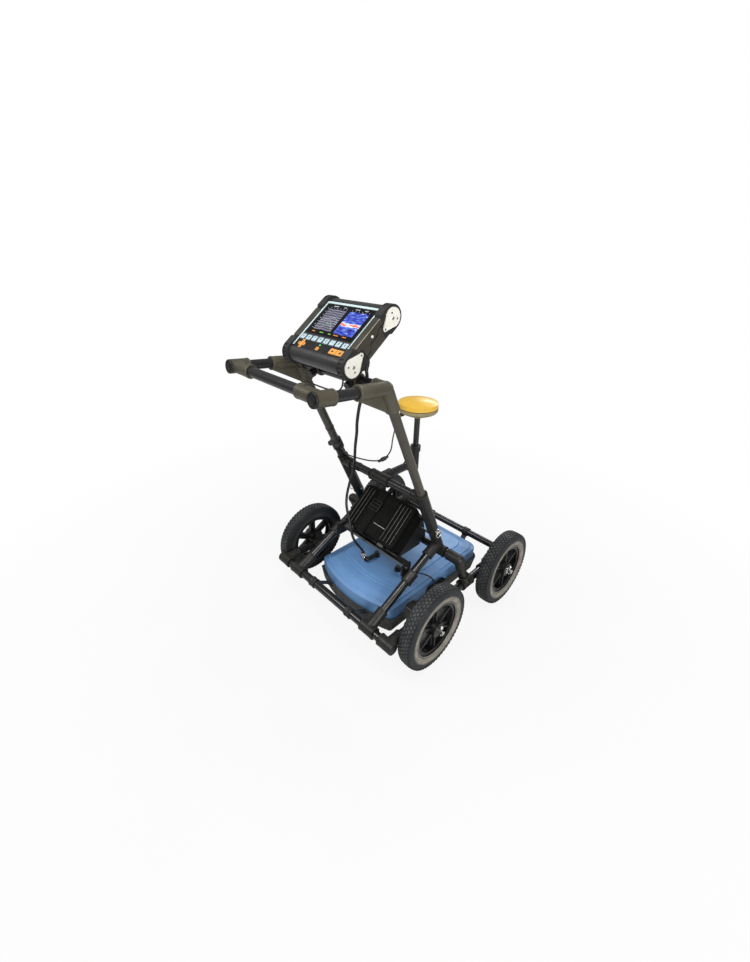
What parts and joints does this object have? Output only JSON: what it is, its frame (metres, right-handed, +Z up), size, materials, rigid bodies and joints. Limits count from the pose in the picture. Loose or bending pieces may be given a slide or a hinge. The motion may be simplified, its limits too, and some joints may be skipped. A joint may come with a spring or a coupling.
{
  "type": "ground penetrating radar cart",
  "caption": "Push cart of black tubes on spoked wheels carrying a slung blue radar antenna, a tilting console, a positioning receiver on a mast and a battery case.",
  "frame": {"origin": "on the ground under the middle of the cart's box", "axes": "+X to the operator's right, +Y forward in the direction of travel, +Z up"},
  "size_m": [0.77, 0.963, 1.1914],
  "materials": {
    "black_tube": "gloss black powder coat on glass-fibre tube",
    "grey_fitting": "satin dark olive-grey moulding",
    "black_plastic": "satin black",
    "soft_rubber": "matt black",
    "tyre_rubber": "matt, dusty sidewall",
    "bright_steel": "zinc plated, bright",
    "webbing": "woven black webbing",
    "case_plastic": "textured black",
    "battery_plastic": "matt",
    "cable_jacket": "matt jacket",
    "antenna_blue": "satin light blue",
    "skid_plastic": "scuffed dark polymer",
    "receiver_base": "satin beige",
    "receiver_dome": "satin yellow-orange",
    "console_plastic": "satin dark olive",
    "cream_plate": "satin cream",
    "panel_black": "satin black overlay",
    "screen_glass": "dark glass over a lit display",
    "pale_key": "satin pale blue",
    "orange_key": "satin orange"
  },
  "bodies": {
    "cart_frame": {"cross_tubes": "black_tube", "rails": "black_tube", "leg_tubes": "black_tube", "handle_tubes": "black_tube", "corner_elbows": "grey_fitting", "rear_tees": "grey_fitting", "leg_feet": "grey_fitting", "side_posts": "grey_fitting", "rail_tees": "grey_fitting", "leg_sleeves": "grey_fitting", "handle_elbows": "grey_fitting", "handle_tees": "grey_fitting", "gps_arm": "grey_fitting", "console_clamps": "grey_fitting", "caps_and_knobs": "black_plastic", "case_cradle": "black_plastic", "case_latches": "black_plastic", "antenna_plugs": "black_plastic", "odometer_housing": "black_plastic", "axles": "bright_steel", "steel_fittings": "bright_steel", "hanger_straps": "webbing", "case_strap": "webbing", "case_base": "case_plastic", "case_lid": "case_plastic", "battery_block": "battery_plastic", "cables": "cable_jacket", "antenna_cover": "antenna_blue", "antenna_skid": "skid_plastic"},
    "rear_left_wheel": {"rear_left_tyre": "tyre_rubber", "rear_left_rim": "black_plastic"},
    "rear_right_wheel": {"rear_right_tyre": "tyre_rubber", "rear_right_rim": "black_plastic", "odometer_axle": "bright_steel"},
    "front_left_wheel": {"front_left_tyre": "tyre_rubber", "front_left_rim": "black_plastic"},
    "front_right_wheel": {"front_right_tyre": "tyre_rubber", "front_right_rim": "black_plastic"},
    "console": {"console_body": "console_plastic", "console_end_caps": "soft_rubber", "console_side_plates": "cream_plate", "console_bezel": "panel_black", "display_screen": "screen_glass"},
    "softkey_1_button": {"softkey_1": "pale_key"},
    "softkey_2_button": {"softkey_2": "pale_key"},
    "softkey_3_button": {"softkey_3": "pale_key"},
    "softkey_4_button": {"softkey_4": "pale_key"},
    "softkey_5_button": {"softkey_5": "pale_key"},
    "softkey_6_button": {"softkey_6": "pale_key"},
    "softkey_7_button": {"softkey_7": "pale_key"},
    "softkey_8_button": {"softkey_8": "pale_key"},
    "arrow_pad_button": {"arrow_pad": "orange_key"},
    "power_key_button": {"power_key": "orange_key"},
    "left_function_key_button": {"left_function_key": "orange_key"},
    "right_function_key_button": {"right_function_key": "orange_key"},
    "receiver": {"gps_mast": "black_tube", "gps_base": "receiver_base", "gps_dome": "receiver_dome"},
    "left_pin": {"left_lock_pin": "bright_steel"},
    "right_pin": {"right_lock_pin": "bright_steel"}
  },
  "joints": [
    {"name": "rear_left_wheel_spin", "type": "hinge", "parent": "cart_frame", "child": "rear_left_wheel", "pos_m": [-0.34, -0.114, 0.1525], "axis": [1, 0, 0], "continuous": true},
    {"name": "rear_right_wheel_spin", "type": "hinge", "parent": "cart_frame", "child": "rear_right_wheel", "pos_m": [0.34, -0.114, 0.1525], "axis": [1, 0, 0], "continuous": true},
    {"name": "front_left_wheel_spin", "type": "hinge", "parent": "cart_frame", "child": "front_left_wheel", "pos_m": [-0.34, 0.329, 0.1525], "axis": [1, 0, 0], "continuous": true},
    {"name": "front_right_wheel_spin", "type": "hinge", "parent": "cart_frame", "child": "front_right_wheel", "pos_m": [0.34, 0.329, 0.1525], "axis": [1, 0, 0], "continuous": true},
    {"name": "console_tilt", "type": "hinge", "parent": "cart_frame", "child": "console", "pos_m": [0, -0.23831, 1.02748], "axis": [1, 0, 0], "range_deg": [-35, 24]},
    {"name": "softkey_1_press", "type": "slide", "parent": "console", "child": "softkey_1_button", "axis": [0, 0.6266, -0.7793], "range_m": [0, 0.0006], "stiffness_N_per_m": 900, "springref_m": -0.0006},
    {"name": "softkey_2_press", "type": "slide", "parent": "console", "child": "softkey_2_button", "axis": [0, 0.6266, -0.7793], "range_m": [0, 0.0006], "stiffness_N_per_m": 900, "springref_m": -0.0006},
    {"name": "softkey_3_press", "type": "slide", "parent": "console", "child": "softkey_3_button", "axis": [0, 0.6266, -0.7793], "range_m": [0, 0.0006], "stiffness_N_per_m": 900, "springref_m": -0.0006},
    {"name": "softkey_4_press", "type": "slide", "parent": "console", "child": "softkey_4_button", "axis": [0, 0.6266, -0.7793], "range_m": [0, 0.0006], "stiffness_N_per_m": 900, "springref_m": -0.0006},
    {"name": "softkey_5_press", "type": "slide", "parent": "console", "child": "softkey_5_button", "axis": [0, 0.6266, -0.7793], "range_m": [0, 0.0006], "stiffness_N_per_m": 900, "springref_m": -0.0006},
    {"name": "softkey_6_press", "type": "slide", "parent": "console", "child": "softkey_6_button", "axis": [0, 0.6266, -0.7793], "range_m": [0, 0.0006], "stiffness_N_per_m": 900, "springref_m": -0.0006},
    {"name": "softkey_7_press", "type": "slide", "parent": "console", "child": "softkey_7_button", "axis": [0, 0.6266, -0.7793], "range_m": [0, 0.0006], "stiffness_N_per_m": 900, "springref_m": -0.0006},
    {"name": "softkey_8_press", "type": "slide", "parent": "console", "child": "softkey_8_button", "axis": [0, 0.6266, -0.7793], "range_m": [0, 0.0006], "stiffness_N_per_m": 900, "springref_m": -0.0006},
    {"name": "arrow_pad_press", "type": "slide", "parent": "console", "child": "arrow_pad_button", "axis": [0, 0.6266, -0.7793], "range_m": [0, 0.0006], "stiffness_N_per_m": 900, "springref_m": -0.0006},
    {"name": "power_key_press", "type": "slide", "parent": "console", "child": "power_key_button", "axis": [0, 0.6266, -0.7793], "range_m": [0, 0.0006], "stiffness_N_per_m": 900, "springref_m": -0.0006},
    {"name": "left_function_key_press", "type": "slide", "parent": "console", "child": "left_function_key_button", "axis": [0, 0.6266, -0.7793], "range_m": [0, 0.0006], "stiffness_N_per_m": 900, "springref_m": -0.0006},
    {"name": "right_function_key_press", "type": "slide", "parent": "console", "child": "right_function_key_button", "axis": [0, 0.6266, -0.7793], "range_m": [0, 0.0006], "stiffness_N_per_m": 900, "springref_m": -0.0006},
    {"name": "receiver_height", "type": "slide", "parent": "cart_frame", "child": "receiver", "axis": [0, 0, 1], "range_m": [0, 0.06]},
    {"name": "left_pin_pull", "type": "slide", "parent": "cart_frame", "child": "left_pin", "axis": [-1, 0, 0], "range_m": [0, 0.055]},
    {"name": "right_pin_pull", "type": "slide", "parent": "cart_frame", "child": "right_pin", "axis": [1, 0, 0], "range_m": [0, 0.055]}
  ]
}
